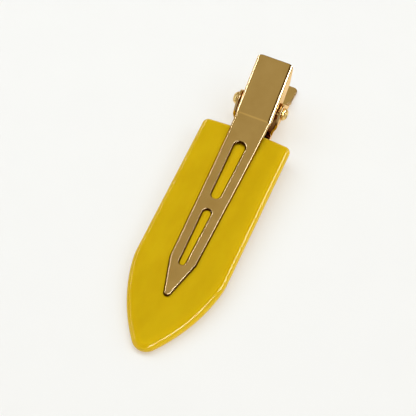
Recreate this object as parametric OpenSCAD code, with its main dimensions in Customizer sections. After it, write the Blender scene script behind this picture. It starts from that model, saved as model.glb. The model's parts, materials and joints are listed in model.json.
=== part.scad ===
// A flat hair clip: a sprung metal lever that lies on a glossy plate and lets hair lie smooth.
// Everything is drawn in the plate's own frame: the middle of the plate's hinge edge on its top
// face is zero, Y runs toward the handles, Z is up. at_rest() then lays the clip on a table.

/* [Plate] */
// Width across the two straight sides
plate_w = 24; // [22:0.5:28]
// Length from the hinge edge to the point
plate_l = 65.8; // [62:0.1:75]
// Thickness
plate_t = 3; // [3:0.1:3.4]
// Radius of the rounded edge all round
plate_edge_r = 1.45; // [1.1:0.05:1.45]
// How far the middle of the hinge edge bulges past its corners
plate_bulge = 0.57; // [0.2:0.01:1]
// Radius of the two corners at the hinge edge
plate_corner_r = 1.65; // [1.6:0.05:3]
// Radius where each straight side begins to turn in
shoulder_r = 20; // [10:1:30]
// How far that shoulder turns, in degrees
shoulder_turn = 11.3; // [5:0.1:15]
// Radius of each long curve toward the point
ogive_r = 44; // [36:1:60]
// Radius of the rounded point
point_r = 3.6; // [2:0.1:6]

/* [Metal] */
// Thickness of the sheet that both levers are stamped from
sheet = 0.7; // [0.6:0.05:0.8]
// Outer radius of the bends along the handles
bend_r = 1; // [0.9:0.05:1.4]
// Gap between the jaw and the plate
jaw_gap = 0.05; // [0.02:0.01:0.1]

/* [Jaw] */
// Distance from the plate's hinge edge out to the knee, where the handle begins
knee_y = 2.85; // [2:0.05:4]
// Height of the jaw's top face at the knee
knee_z = 1.75; // [1.4:0.05:2.4]
// Half width at the knee
jaw_hw = 4.65; // [4.4:0.05:5]
// Half width at the shoulders of the point
jaw_shoulder_hw = 3.55; // [3.2:0.05:4]
// Distance from the hinge edge to those shoulders
jaw_shoulder_y = 41.3; // [36:0.1:44]
// Distance from the hinge edge to the tip
jaw_l = 51.35; // [48:0.05:54]
// Radius of the tip
jaw_tip_r = 0.75; // [0.5:0.05:1.2]
// Distance from the hinge edge to where the jaw lifts off the plate
jaw_lift_y = 20; // [14:0.5:26]

/* [Handles] */
// Slope of the upper handle
upper_slope = 24; // [18:0.5:28]
// Length of the upper handle from the knee
upper_handle_l = 15.95; // [14:0.1:18]
// Half width of the upper handle
upper_hw = 4.9; // [4.7:0.05:5]
// Depth of the upper handle's side walls at its free end
upper_end_depth = 1.1; // [1.1:0.1:2]
// Distance along the upper handle at which its side walls start to narrow toward the free end
upper_wall_y = 12.3; // [10:0.1:13]
// Depth of the upper handle's side walls there
upper_wall_depth = 4.5; // [3.5:0.1:5]
// Distance from the plate's hinge edge out to the lower knee
lower_knee_y = 2.3; // [1.5:0.1:3]
// Slope of the lower handle
lower_slope = 13.3; // [10:0.1:15]
// Length of the lower handle from its knee
lower_handle_l = 19.6; // [18:0.1:21]
// Half width of the lower handle's floor
lower_hw = 5.5; // [5.4:0.05:5.6]
// Depth of the lower handle's side walls at its free end
lower_end_depth = 0.75; // [0.75:0.05:1.5]
// Distance along the lower handle at which its side walls start to rise to the ears
lower_wall_y = 11.8; // [11:0.1:13]
// Depth of the lower handle's side walls there
lower_wall_depth = 1.4; // [1.3:0.1:2]
// Radius of the free corners of both handles
handle_corner_r = 1.1; // [0.5:0.1:1.5]

/* [Hinge] */
// Distance from the plate's hinge edge out to the pin
pin_y = 7.7; // [6.5:0.1:8]
// Height of the pin's axis
pin_z = 0.1; // [-0.4:0.05:0.3]
// Radius of the pin's shaft
pin_r = 1; // [0.8:0.05:1.1]
// Running clearance between shaft and ears
pin_clear = 0.05; // [0.02:0.01:0.08]
// Radius of the head's rim
head_r = 1.65; // [1.5:0.05:2]
// Thickness of the head's rim
head_rim = 0.35; // [0.15:0.05:0.4]
// Height of the dome above the rim
dome_h = 1.0; // [0.5:0.05:1]
// Radius of the round ears on the upper lever
upper_ear_r = 2.3; // [2:0.05:2.6]
// Radius of the round ears on the lower lever
lower_ear_r = 2.4; // [2.2:0.05:3]
// Outer half width across the lower lever's ears
ear_hw = 6.2; // [6.2:0.05:6.6]
// Height at which the lower lever's walls start to step out toward its ears
flare_z = 1.1; // [1.1:0.1:1.6]
// Height over which they step out
flare_h = 1.3; // [1:0.1:1.8]

/* [Spring] */
// Wire diameter
wire_d = 0.7; // [0.5:0.05:0.8]
// Radius of the coil, to the middle of the wire
coil_r = 1.75; // [1.6:0.05:1.9]
// Distance from one turn to the next
coil_pitch = 0.8; // [0.78:0.01:0.85]
// Whole turns, before the part turn that joins the legs
coil_turns = 7; // [5:1:7]
// Length of each straight leg
leg_l = 7.5; // [6:0.1:8]

/* [Hidden] */
$fn = 64;
gold = [0.83, 0.68, 0.40];
reach = 60;                    // longer than any cut has to be
pin_at = [pin_y, pin_z];
jaw_top_z = jaw_gap + sheet;
leaf_top_z = -plate_t;
head_gap = 0.03;
lap = 0.02;                    // straight edges run this far into the round ends that they meet
knee_lap = 0.3;                // the lower handle runs this far back into the leaf
function rot2(p, a) = [p.x * cos(a) - p.y * sin(a), p.x * sin(a) + p.y * cos(a)];
function cut2(p, a) = [p.x * cos(a) + p.y * sin(a), -p.x * sin(a) + p.y * cos(a)];

// Leaf of the lower lever, glued under the plate: it stops short of the jaw's tip
leaf_shoulder_y = 36.5;
leaf_l = 46;
leaf_root_y = 0.6;

// Lays the clip down: it leans on the plate's rounded point and on the lower handle's end
point_centre = [-(plate_l - plate_edge_r), plate_edge_r - plate_t];
upper_knee = [knee_y, knee_z];
lower_knee = [lower_knee_y, leaf_top_z - sheet];
heel = lower_knee + lower_handle_l * [cos(lower_slope), -sin(lower_slope)];
lean = heel - point_centre;
rest_tilt = -(atan2(lean.y, lean.x) + asin(plate_edge_r / norm(lean)));
lower_end_top = heel + lower_end_depth * [sin(lower_slope), cos(lower_slope)];
back_y = rot2(lower_end_top, rest_tilt).x;
front_y = rot2(point_centre, rest_tilt).x - plate_edge_r;
floor_z = rot2(heel, rest_tilt).y;

// Plate outline
EDGE_STEPS = 5;
half_w = plate_w / 2;
ogive_turn = acos((ogive_r * cos(shoulder_turn) + shoulder_r * (1 - cos(shoulder_turn)) - half_w)
    / (ogive_r - point_r));
curve_l = shoulder_r * sin(shoulder_turn) + ogive_r * (sin(ogive_turn) - sin(shoulder_turn))
    + point_r * (1 - sin(ogive_turn));
bulge_r = (half_w * half_w + plate_bulge * plate_bulge) / (2 * plate_bulge);
corner_turn = asin((half_w - plate_corner_r) / (bulge_r - plate_corner_r));
corner_y = (bulge_r - plate_corner_r) * cos(corner_turn) - bulge_r;

// Clear distance from the pin's axis to the inner face of each handle
wire_gap = 0.06;
pin_to_upper = -cut2(pin_at - upper_knee, upper_slope).y - sheet;
pin_to_lower = cut2(pin_at - lower_knee, -lower_slope).y - sheet;

// Jaw profile: flat on the plate, then one long arc up to the knee
lift_run = jaw_lift_y + knee_y;
lift_rise = knee_z - jaw_top_z;
lift_r = (lift_run * lift_run + lift_rise * lift_rise) / (2 * lift_rise);
lift_turn = asin(lift_run / lift_r);
LIFT_STEPS = 12;
FOLD_STEPS = 4;

// Slots in the jaw: from y, to y, radius at the first end, radius at the last end
SLOT_FROM = 0;
SLOT_TO = 1;
SLOT_R0 = 2;
SLOT_R1 = 3;
SLOTS = [
    [-6.5, -21.0, 1.6, 1.3],
    [-26.9, -41.5, 1.15, 0.85],
];

// Arc that runs down the right side: from point p with heading a (0 is straight down) to heading b
function side_arc(p, r, a, b, steps) = [for (k = [1 : steps]) let (t = a + (b - a) * k / steps)
    p + r * [cos(t) - cos(a), sin(a) - sin(t)]];
function last(list) = list[len(list) - 1];
function mirrored(list) = [for (k = [len(list) - 1 : -1 : 0]) [-list[k].x, list[k].y]];

// Right half of the plate's outline, moved in by i, from the hinge edge's middle to the point
function plate_half(i) = let (
        bulge = [for (k = [0 : 8]) let (t = corner_turn * k / 8)
            (bulge_r - i) * [sin(t), cos(t)] - [0, bulge_r]],
        corner = [for (k = [1 : 8]) let (t = corner_turn + (90 - corner_turn) * k / 8)
            [half_w - plate_corner_r, corner_y] + (plate_corner_r - i) * [sin(t), cos(t)]],
        side = [[half_w - i, -(plate_l - curve_l)]],
        shoulder = side_arc(last(side), shoulder_r - i, 0, shoulder_turn, 5),
        ogive = side_arc(last(shoulder), ogive_r - i, shoulder_turn, ogive_turn, 18),
        point = side_arc(last(ogive), point_r - i, ogive_turn, 90, 8)
    ) concat(bulge, corner, side, shoulder, ogive, point);
function plate_outline(i) = let (half = plate_half(i))
    concat(half, [for (p = mirrored(half)) if (abs(p.x) > 0.001) p]);

// Sheet that follows a path in Y and Z: its top edge is the path, its bottom edge lies under it
function jaw_path() = concat([[-reach, jaw_top_z]],
    [for (k = [0 : LIFT_STEPS]) let (t = lift_turn * k / LIFT_STEPS)
        [-jaw_lift_y + lift_r * sin(t), jaw_top_z + lift_r * (1 - cos(t))]]);
function under(path, turn) = [for (k = [0 : len(path) - 1])
    let (t = turn * max(0, k - 1) / (len(path) - 2)) path[k] + sheet * [sin(t), -cos(t)]];

// Outside of the sheet's fold at a knee, from direction a to direction b round the knee's sharp line
function fold(knee, a, b) = [for (k = [0 : FOLD_STEPS]) let (t = a + (b - a) * k / FOLD_STEPS)
    knee + sheet * [cos(t), sin(t)]];

function flipped(p) = [p.x, -p.y];
function unit(v) = v / norm(v);

// Point where the line from p touches the circle round c, on its side +1 or -1
function tangent(p, c, r, side) = let (way = c - p, far = norm(way),
        turn = atan2(way.y, way.x) + side * asin(r / far))
    p + sqrt(far * far - r * r) * [cos(turn), sin(turn)];

// Spring wire's path round the pin: in along the upper leg, round the turns, out along the lower leg
WIRE_SIDES = 10;
TURN_STEPS = 20;
function leg_slope(slope, gap) = slope + asin((gap - wire_d / 2 - wire_gap - coil_r) / leg_l);
function spring_path() = let (
        up = leg_slope(upper_slope, pin_to_upper),
        down = -leg_slope(lower_slope, pin_to_lower),
        from = up + 90,
        to = down - 90 + 360 * coil_turns,
        steps = ceil(TURN_STEPS * (to - from) / 360),
        half = coil_pitch * (to - from) / 720,
        turns = [for (k = [0 : steps]) let (t = from + (to - from) * k / steps)
            [half - 2 * half * k / steps, coil_r * cos(t), coil_r * sin(t)]]
    ) concat([turns[0] + leg_l * [0, cos(up), sin(up)]], turns,
        [last(turns) + leg_l * [0, cos(down), sin(down)]]);

module at_rest() {
    translate([0, -(front_y + back_y) / 2, -floor_z])
        rotate([rest_tilt, 0, 0])
            children();
}

// Side view drawn as (y, z), pushed out to both sides of the middle
module side_profile(half) {
    rotate([90, 0, 90])
        linear_extrude(height = 2 * half, center = true)
            children();
}

// Outline drawn as (x, y), cut through the whole height
module plan() {
    linear_extrude(height = reach, center = true)
        children();
}

module pin_bore(r) {
    translate([0, pin_y, pin_z])
        rotate([0, 90, 0])
            cylinder(r = r, h = reach, center = true);
}

module slot(row) {
    translate([0, row[SLOT_FROM]])
        circle(r = row[SLOT_R0]);
    translate([0, row[SLOT_TO]])
        circle(r = row[SLOT_R1]);
    polygon([[-row[SLOT_R0], row[SLOT_FROM]], [row[SLOT_R0], row[SLOT_FROM]],
        [row[SLOT_R1], row[SLOT_TO]], [-row[SLOT_R1], row[SLOT_TO]]]);
}

// Tapered blade with a rounded point, in plan: the jaw, and the leaf that mirrors it
module blade(hw, shoulder_hw, shoulder_y, tip_y, back_y) {
    point_turn = atan2(shoulder_hw, tip_y - shoulder_y);
    tip_c = [0, -tip_y + jaw_tip_r];
    tip_side = tip_c + (jaw_tip_r - lap) * [cos(point_turn), -sin(point_turn)];
    polygon([[-hw, back_y], [hw, back_y], [shoulder_hw, -shoulder_y],
        tip_side, [-tip_side.x, tip_side.y], [-shoulder_hw, -shoulder_y]]);
    translate(tip_c)
        circle(r = jaw_tip_r);
}

// Channel along +Y with its flat face down at z = 0, its walls up, and bends of outer radius bend_r
module channel(hw, depth, length) {
    module trough(inset) {
        r = bend_r - inset;
        w = hw - inset;
        translate([0, inset])
            union() {
                translate([-(w - r), 0])
                    square([2 * (w - r), depth]);
                translate([-w, r])
                    square([2 * w, depth]);
                for (side = [-1, 1])
                    translate([side * (w - r), r])
                        circle(r = r);
            }
    }
    translate([0, length, 0])
        rotate([90, 0, 0])
            linear_extrude(height = length)
                difference() {
                    trough(0);
                    trough(sheet);
                }
}

// Plan of a handle with rounded free corners, in the handle's own frame
module handle_plan(hw, length) {
    r = handle_corner_r;
    translate([-hw, -1])
        square([2 * hw, length - r + 1]);
    translate([-(hw - r), -1])
        square([2 * (hw - r), length + 1]);
    for (side = [-1, 1])
        translate([side * (hw - r), length - r])
            circle(r = r);
}

// Side view of an ear and the wall that leads to it, walls down: ear centre c and radius r
module wall_profile(length, end_depth, wall, c, r, front) {
    polygon([[-1, 1], [length + 1, 1], [length + 1, -end_depth], wall, tangent(wall, c, r - lap, 1),
        c, tangent(front, c, r - lap, -1), front, [-1, front.y]]);
    translate(c)
        circle(r = r);
}

// Rounded plate: the same outline at each height, moved in by a quarter circle at both faces
module acetate_plate() {
    top = [for (k = [0 : EDGE_STEPS]) let (t = 90 * k / EDGE_STEPS)
        [plate_edge_r * (1 - sin(t)), plate_edge_r * (cos(t) - 1)]];
    rings = concat(top, [for (k = [EDGE_STEPS : -1 : 0]) [top[k].x, -plate_t - top[k].y]]);
    layers = [for (ring = rings) [for (p = plate_outline(ring.x)) [p.x, p.y, ring.y]]];
    color([0.82, 0.67, 0.06])
        at_rest()
            stack(layers);
}

// Solid through closed rings that all have the same number of points, first ring on top
module stack(rings) {
    n = len(rings[0]);
    faces = concat(
        [[for (j = [0 : n - 1]) j]],
        [for (k = [0 : len(rings) - 2]) for (j = [0 : n - 1]) let (m = (j + 1) % n)
            [k * n + j, (k + 1) * n + j, (k + 1) * n + m, k * n + m]],
        [[for (j = [n - 1 : -1 : 0]) (len(rings) - 1) * n + j]]);
    polyhedron([for (ring = rings) for (p = ring) p], faces);
}

module jaw() {
    path = jaw_path();
    low = under(path, lift_turn);
    intersection() {
        side_profile(jaw_hw)
            polygon(concat(path, fold(upper_knee, upper_slope - 90, lift_turn - 90),
                [for (k = [len(low) - 2 : -1 : 0]) low[k]]));
        plan()
            difference() {
                blade(jaw_hw, jaw_shoulder_hw, jaw_shoulder_y, jaw_l, knee_y + 1);
                for (row = SLOTS)
                    slot(row);
            }
    }
}

module upper_handle() {
    intersection() {
        mirror([0, 0, 1])
            translate([0, -lap, 0])
                channel(upper_hw, reach / 4, upper_handle_l + lap);
        plan()
            handle_plan(upper_hw, upper_handle_l);
        side_profile(reach)
            wall_profile(upper_handle_l, upper_end_depth, [upper_wall_y, -upper_wall_depth],
                cut2(pin_at - upper_knee, upper_slope), upper_ear_r, [0.3, -bend_r]);
    }
}

module upper_lever() {
    color(gold)
        at_rest()
            difference() {
                union() {
                    jaw();
                    translate([0, upper_knee.x, upper_knee.y])
                        rotate([upper_slope, 0, 0])
                            upper_handle();
                }
                pin_bore(pin_r + pin_clear);
            }
}

// Flat leaf glued under the plate, with the full width of the handle where it comes out
module leaf() {
    intersection() {
        side_profile(lower_hw)
            polygon(concat([[-reach, lower_knee.y], lower_knee], fold(lower_knee, 90 - lower_slope, 90),
                [[-reach, leaf_top_z]]));
        plan() {
            blade(jaw_hw, jaw_shoulder_hw, leaf_shoulder_y, leaf_l, leaf_root_y + 1);
            translate([-lower_hw, leaf_root_y])
                square([2 * lower_hw, lower_knee_y - leaf_root_y + 1]);
        }
    }
}

// Lower handle with its flat face down: the walls step out as they rise to the ears
module lower_handle() {
    rise = reach / 4;
    flare_turn = atan2(ear_hw - lower_hw, flare_h);
    module trough(inset) {
        r = bend_r - inset;
        w = lower_hw - inset;
        e = ear_hw - inset;
        step_z = flare_z + inset * tan(flare_turn / 2);
        translate([-(w - r), inset])
            square([2 * (w - r), rise]);
        for (side = [-1, 1])
            translate([side * (w - r), bend_r])
                circle(r = r);
        polygon([[-w, bend_r], [w, bend_r], [w, step_z], [e, step_z + flare_h], [e, rise],
            [-e, rise], [-e, step_z + flare_h], [-w, step_z]]);
    }
    intersection() {
        translate([0, lower_handle_l, 0])
            rotate([90, 0, 0])
                linear_extrude(height = lower_handle_l + knee_lap)
                    difference() {
                        trough(0);
                        trough(sheet);
                    }
        plan() {
            handle_plan(lower_hw, lower_handle_l);
            translate([-ear_hw, -1])
                square([2 * ear_hw, lower_handle_l - handle_corner_r + 1]);
        }
        side_profile(reach)
            mirror([0, 1])
                wall_profile(lower_handle_l, lower_end_depth, [lower_wall_y, -lower_wall_depth],
                    flipped(cut2(pin_at - lower_knee, -lower_slope)), lower_ear_r, [0.4, -bend_r]);
    }
}

module lower_lever() {
    color(gold)
        at_rest()
            difference() {
                union() {
                    leaf();
                    translate([0, lower_knee.x, lower_knee.y])
                        rotate([-lower_slope, 0, 0])
                            lower_handle();
                }
                pin_bore(pin_r + pin_clear);
            }
}

module hinge_pin() {
    seat = ear_hw + head_gap;
    color(gold)
        at_rest()
            translate([0, pin_y, pin_z])
                rotate([0, 90, 0]) {
                    cylinder(r = pin_r, h = 2 * seat, center = true);
                    for (side = [0, 1])
                        mirror([0, 0, side])
                            translate([0, 0, seat])
                                rivet_head();
                }
}

// Rim with a dome on it, base at z = 0
module rivet_head() {
    dome_r = head_r - head_rim;
    ball_r = (dome_r * dome_r + dome_h * dome_h) / (2 * dome_h);
    ball_turn = asin(dome_r / ball_r);
    rotate_extrude()
        polygon(concat([[0, 0], [head_r, 0], [head_r, head_rim]],
            [for (k = [0 : 8]) let (t = ball_turn * (1 - k / 8))
                [ball_r * sin(t), head_rim + dome_h - ball_r * (1 - cos(t))]]));
}

// Torsion spring: one wire swept through both legs and the turns between them
module spring() {
    color([0.75, 0.62, 0.36])
        at_rest()
            translate([0, pin_y, pin_z])
                sweep(spring_path(), wire_d / 2);
}

module sweep(path, r) {
    n = len(path);
    stack([for (k = [0 : n - 1])
        let (along = unit(path[min(k + 1, n - 1)] - path[max(k - 1, 0)]),
            out = unit(cross(along, [1, 0, 0])),
            side = cross(along, out))
        [for (j = [0 : WIRE_SIDES - 1]) let (a = 360 * j / WIRE_SIDES)
            path[k] + r * (cos(a) * out + sin(a) * side)]]);
}

acetate_plate();
lower_lever();
upper_lever();
hinge_pin();
spring();
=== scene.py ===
# %% [markdown]
# # A flat hair clip on a pale table
# The clip is a yellow acetate plate, two gilt levers, a rivet and a spring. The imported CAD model
# is the frame of this scene: every piece made here takes the place of one CAD node, rides on
# the body of that node, and stays inside its box. The CAD meshes could be dressed as they are,
# but their facets would show as steps in mirror-like plating, so each piece is made again from
# the same sizes, with exact normals.

import json
import math

import bmesh
import bpy
from mathutils import Matrix, Vector
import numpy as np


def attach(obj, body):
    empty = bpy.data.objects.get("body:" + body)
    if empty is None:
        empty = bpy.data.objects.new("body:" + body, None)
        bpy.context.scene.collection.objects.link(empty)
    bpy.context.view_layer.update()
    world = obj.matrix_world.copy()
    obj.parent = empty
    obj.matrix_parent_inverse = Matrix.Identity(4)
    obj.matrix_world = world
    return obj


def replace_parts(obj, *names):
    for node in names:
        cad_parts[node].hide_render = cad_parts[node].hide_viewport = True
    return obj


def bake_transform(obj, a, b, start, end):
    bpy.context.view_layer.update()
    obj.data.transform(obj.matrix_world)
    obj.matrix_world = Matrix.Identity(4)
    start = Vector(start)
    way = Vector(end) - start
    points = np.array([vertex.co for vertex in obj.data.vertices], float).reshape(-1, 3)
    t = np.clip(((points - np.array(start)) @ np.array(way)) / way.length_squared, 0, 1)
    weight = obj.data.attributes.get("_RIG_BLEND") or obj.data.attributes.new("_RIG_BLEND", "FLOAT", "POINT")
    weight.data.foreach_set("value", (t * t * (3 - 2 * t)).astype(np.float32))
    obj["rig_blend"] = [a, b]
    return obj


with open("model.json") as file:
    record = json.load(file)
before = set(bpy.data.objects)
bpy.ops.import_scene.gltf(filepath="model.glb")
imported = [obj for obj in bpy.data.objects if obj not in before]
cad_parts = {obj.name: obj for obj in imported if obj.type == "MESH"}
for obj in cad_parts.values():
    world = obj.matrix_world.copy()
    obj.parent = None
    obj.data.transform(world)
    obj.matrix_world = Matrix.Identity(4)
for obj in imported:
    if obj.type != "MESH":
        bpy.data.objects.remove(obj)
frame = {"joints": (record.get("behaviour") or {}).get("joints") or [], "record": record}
scene = bpy.context.scene
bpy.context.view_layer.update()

# %% [markdown]
# The clip does not lie level: it rests on the plate's point and on the lower handle. Each
# finished piece could be tilted by hand. It is surer to draw in millimetres in the plate's own
# frame, where the middle of the plate's hinge edge on its top face is zero, Y runs toward the
# handles and Z is up, and to lay down every point with one function. The mount on the jaw gives
# the tilt, and the hinge is the one point whose place is known in both frames.

# %% From the plate's own frame to the row frame
MM = 0.001
PIN_Y, PIN_Z = 7.7, 0.1
pin_at = Vector(frame["joints"][0]["pos_m"])
mounts = {m["name"]: m for m in frame["record"]["mounts"]}
up_axis = Vector(mounts["jaw_top"]["axis"]).normalized()
tilt = math.atan2(-up_axis.y, up_axis.z)
lay = Matrix.Rotation(tilt, 3, "X")
origin = pin_at - lay @ Vector((0, PIN_Y, PIN_Z)) * MM


def turn(v):
    """A direction of the plate's frame in the row frame."""
    return lay @ Vector(v)


def place(p):
    """A point of the plate's frame, in millimetres, in the row frame, in metres."""
    return origin + turn(p) * MM


print("tilt", round(math.degrees(tilt), 3), "origin", [round(v / MM, 3) for v in origin])

# %% [markdown]
# The plate, both levers and the slots are cut along an outline. A filled curve object could
# draw them, but it gives no say in the normals, and on a long thin face a slightly wrong normal
# bends the reflection. So an outline here is a list of (point, outward normal) pairs, made from
# corners that each have their own radius.

# %% Outlines with exact normals
ARC_STEP = math.radians(7)
STRAIGHT_ON = 1e-4


def rounded(corners):
    """Closed outline, anticlockwise, through corners (x, y, radius)."""
    out = []
    for k, (x, y, r) in enumerate(corners):
        here = Vector((x, y))
        before = Vector(corners[k - 1][:2])
        after = Vector(corners[(k + 1) % len(corners)][:2])
        a = (here - before).normalized()
        b = (after - here).normalized()
        swing = math.atan2(a.x * b.y - a.y * b.x, a.dot(b))
        if abs(swing) < STRAIGHT_ON:
            out.append((here, Vector((a.y, -a.x))))
            continue
        reach = r * math.tan(abs(swing) / 2)
        start = here - a * reach
        sign = 1 if swing > 0 else -1
        centre = start + sign * r * Vector((-a.y, a.x))
        steps = max(2, math.ceil(abs(swing) / ARC_STEP))
        for i in range(steps + 1):
            t = swing * i / steps
            c, s = math.cos(t), math.sin(t)
            heading = Vector((a.x * c - a.y * s, a.x * s + a.y * c))
            normal = Vector((heading.y, -heading.x))
            out.append((centre + sign * r * normal, normal))
    return out


test_square = rounded([(0, 0, 1), (9, 0, 1), (9, 9, 1), (0, 9, 1)])
print("points round a test square:", len(test_square))

# %% [markdown]
# The rivet's holes are circles. A few corners, such as the jaw's tip and the back of each ear,
# go round a known centre, so they could be given as arcs. It is simpler to keep them as corners
# like the rest: each is where the two lines that touch its circle meet.

# %% Rivet holes, and corners round a known centre
HOLE_STEPS = 36


def rivet_hole(x, y, r):
    """Hole outline: its normals point into the hole."""
    ring = []
    for k in range(HOLE_STEPS):
        t = -math.tau * k / HOLE_STEPS
        way = Vector((math.cos(t), math.sin(t)))
        ring.append((Vector((x, y)) + r * way, -way))
    return ring


def round_corner(p, q, centre, r):
    """Corner (x, y, r) whose rounding is the circle round centre, between lines from p and to q."""
    lines = []
    for point, side in ((p, 1), (q, -1)):
        way = Vector(centre) - Vector(point)
        angle = math.atan2(way.y, way.x) - side * math.asin(r / way.length)
        lines.append((Vector(point), Vector((math.cos(angle), math.sin(angle)))))
    (a, da), (b, db) = lines
    cross = da.x * db.y - da.y * db.x
    t = ((b.x - a.x) * db.y - (b.y - a.y) * db.x) / cross
    return (a.x + da.x * t, a.y + da.y * t, r)


print("corner round zero:", [round(v, 2) for v in round_corner((4, -4), (4, 4), (0, 0), 1)])

# %% [markdown]
# The plate is moulded and the levers are stamped, so each starts as a flat blank with rounded
# edges. A bevel modifier could round them, but it pinches at the ends of the slots. Here rings
# of the outline climb the rounding instead, each at its own inset from the outline.

# %% Rings up a rounded edge


def edge_rings(low, high, top_r, low_r, steps):
    """(inset, height, flat, steep, upper) of each ring. Flat and steep make up its normal."""
    rings = []
    for k in range(steps + 1):
        t = math.pi / 2 * k / steps
        rings.append((low_r * (1 - math.sin(t)), low + low_r * (1 - math.cos(t)),
                      math.sin(t), -math.cos(t), 0))
    for k in range(steps + 1):
        t = math.pi / 2 * k / steps
        rings.append((top_r * (1 - math.cos(t)), high - top_r * (1 - math.sin(t)),
                      math.cos(t), math.sin(t), 1))
    return rings


test_rings = edge_rings(0, 1, 0.2, 0.1, 4)
print("rings up a test edge:", len(test_rings))

# %% [markdown]
# A stamped sheet is polished on its faces, while its cut side is darker, with a bright line where the two
# meet. The same dark colour is also painted shade: the thin shadow where the jaw's edges lie on the plate.
# On edges that face right it starts nearer the face, and paints shade over part of their highlight. A second
# material on the side faces would end in a hard step. A mask on the vertices can start part of the way round
# the edge instead, and fade in.

# %% How much dark cut side and painted shade shows
CUT_AND_SHADE_FROM, CUT_AND_SHADE_FROM_RIGHT, CUT_AND_SHADE_FADE = 0.88, 0.09, 0.12


def cut_and_shade_share(n, steep):
    """1 on the cut side and 0 on the faces: the dark cut side, with painted shade. It starts nearer to the
    face where it looks right, which paints shade over part of the highlight there.
    """
    starts = CUT_AND_SHADE_FROM + CUT_AND_SHADE_FROM_RIGHT * max(0.0, n.x) ** 2
    return min(1.0, max(0.0, (starts - abs(steep)) / CUT_AND_SHADE_FADE))


# The mask printed here is the dark cut side with its painted shade.
print("cut side at 60 and 80 degrees:",
      [round(cut_and_shade_share(Vector((0, 1)), math.sin(math.radians(a))), 2) for a in (60, 80)])

# %% [markdown]
# A blank is built ring by ring and closed with flat caps that leave the holes open. An extruded
# face with a boolean for each slot would do too, but it loses track of which vertex belongs to
# which rounding. Here every vertex gets its true normal in a layer as it is made, and later
# cuts across the blank interpolate that layer.

# %% The side of a blank


def new_blank():
    """Empty mesh with the layers of a blank: its normals, a mask for its edge (dark cut side and painted
    shade on a lever, painted glow on the plate) and one for painted shade on its inside.
    """
    bm = bmesh.new()
    bm.verts.layers.float_vector.new("normal")
    for mask in ("edge", "hinge_shade"):
        bm.verts.layers.float.new(mask)
    return bm


def upright(p, n):
    """Lean of a side that stands straight."""
    return 0.0


def ring_side(bm, loop, rings, lean):
    """Side of a blank round one outline or hole; returns its lowest and its highest row."""
    layer, edge = bm.verts.layers.float_vector["normal"], bm.verts.layers.float["edge"]
    rows = []
    for inset, z, flat, steep, upper in rings:
        row = []
        for p, n in loop:
            way = inset + upper * lean(p, n)
            v = bm.verts.new((p.x - n.x * way, p.y - n.y * way, z))
            v[layer] = (n.x * flat, n.y * flat, steep)
            # The dark cut side, with painted shade.
            v[edge] = cut_and_shade_share(n, steep)
            row.append(v)
        rows.append(row)
    for a, b in zip(rows, rows[1:]):
        for k in range(len(loop)):
            j = (k + 1) % len(loop)
            bm.faces.new((a[k], a[j], b[j], b[k]))
    return rows[0], rows[-1]


bm = new_blank()
ring_side(bm, test_square, test_rings, upright)
print("faces round a test side:", len(bm.faces))
bm.free()

# %% Flat blanks


def close_cap(bm, cap, way):
    """Flat face over the edges of a cap, with its holes left open; way is 1 for the top."""
    filled = bmesh.ops.triangle_fill(bm, edges=cap, use_beauty=True, normal=(0, 0, way))
    for face in filled["geom"]:
        if isinstance(face, bmesh.types.BMFace) and face.normal.z * way < 0:
            face.normal_flip()


def blank(outline, holes, low, high, top_r, low_r, steps, lean=upright):
    """(mesh, layer of its normals) of a flat blank. The side leans in by lean(point, normal)."""
    bm = new_blank()
    rings = edge_rings(low, high, top_r, low_r, steps)
    caps = ([], [])
    for loop in [outline] + holes:
        for cap, row in zip(caps, ring_side(bm, loop, rings, lean)):
            cap += [bm.edges.get(pair) for pair in zip(row, row[1:] + row[:1])]
    for cap, way in zip(caps, (-1, 1)):
        close_cap(bm, cap, way)
    bm.normal_update()
    print("blank of", len(bm.verts), "points")
    return bm, bm.verts.layers.float_vector["normal"]


# %% [markdown]
# A sheet can only fold where it has vertices. A subdivided grid would have them, but it would
# leave ragged slots. Cutting the blank along straight lines keeps its outline exact and puts
# new vertices just where the sheet will turn.

# %% Lines along which a blank can bend
TOUCHING = 1e-5


def spread(a, b, count):
    """Evenly spaced values from a to b."""
    return [a + (b - a) * k / count for k in range(count + 1)]


def bend_lines(bm, across, along):
    """Cuts a blank along lines of equal width, on both sides, and then of equal length."""
    lines = [((side * v, 0, 0), (1, 0, 0)) for v in across for side in (-1, 1)]
    lines += [((0, v, 0), (0, 1, 0)) for v in along]
    for at, facing in lines:
        bmesh.ops.bisect_plane(bm, geom=bm.verts[:] + bm.edges[:] + bm.faces[:],
                               plane_co=at, plane_no=facing, dist=TOUCHING)


print("three lines between 0 and 1:", spread(0, 1, 2))

# %% [markdown]
# A blank becomes a piece in one step: a shape function says where each of its points ends up
# and which way it then looks. Blender could work out smooth normals from the faces, but custom
# normals from the layer keep flat faces flat and rounded edges round.

# %% From a blank to a piece


def add_object(name, data):
    """A new object of the scene that holds a mesh, a light or a camera."""
    obj = bpy.data.objects.new(name, data)
    scene.collection.objects.link(obj)
    return obj


def make_piece(name, bm, layer, shape):
    """Object from a blank: shape(position, normal) gives each vertex's place and normal."""
    bm.verts.ensure_lookup_table()
    normals = []
    for v in bm.verts:
        p, n = shape(v.co.copy(), Vector(v[layer]))
        v.co = place(p)
        normals.append(turn(n).normalized())
    bmesh.ops.triangulate(bm, faces=[f for f in bm.faces if len(f.verts) > 4])
    mesh = bpy.data.meshes.new(name)
    bm.to_mesh(mesh)
    bm.free()
    mesh.shade_smooth()
    mesh.normals_split_custom_set_from_vertices(normals)
    print(name, len(mesh.polygons), "faces")
    return add_object(name, mesh)


# %% [markdown]
# The plate has straight sides and an ogive point. Its outline could be traced point by point,
# but arcs are what a mould maker would cut: down one side run the bulging hinge edge, a small
# corner, the straight side, a shoulder, the long curve and the rounded point. Where one arc
# meets the next follows from their radii, so the curve never has a kink.

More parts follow.
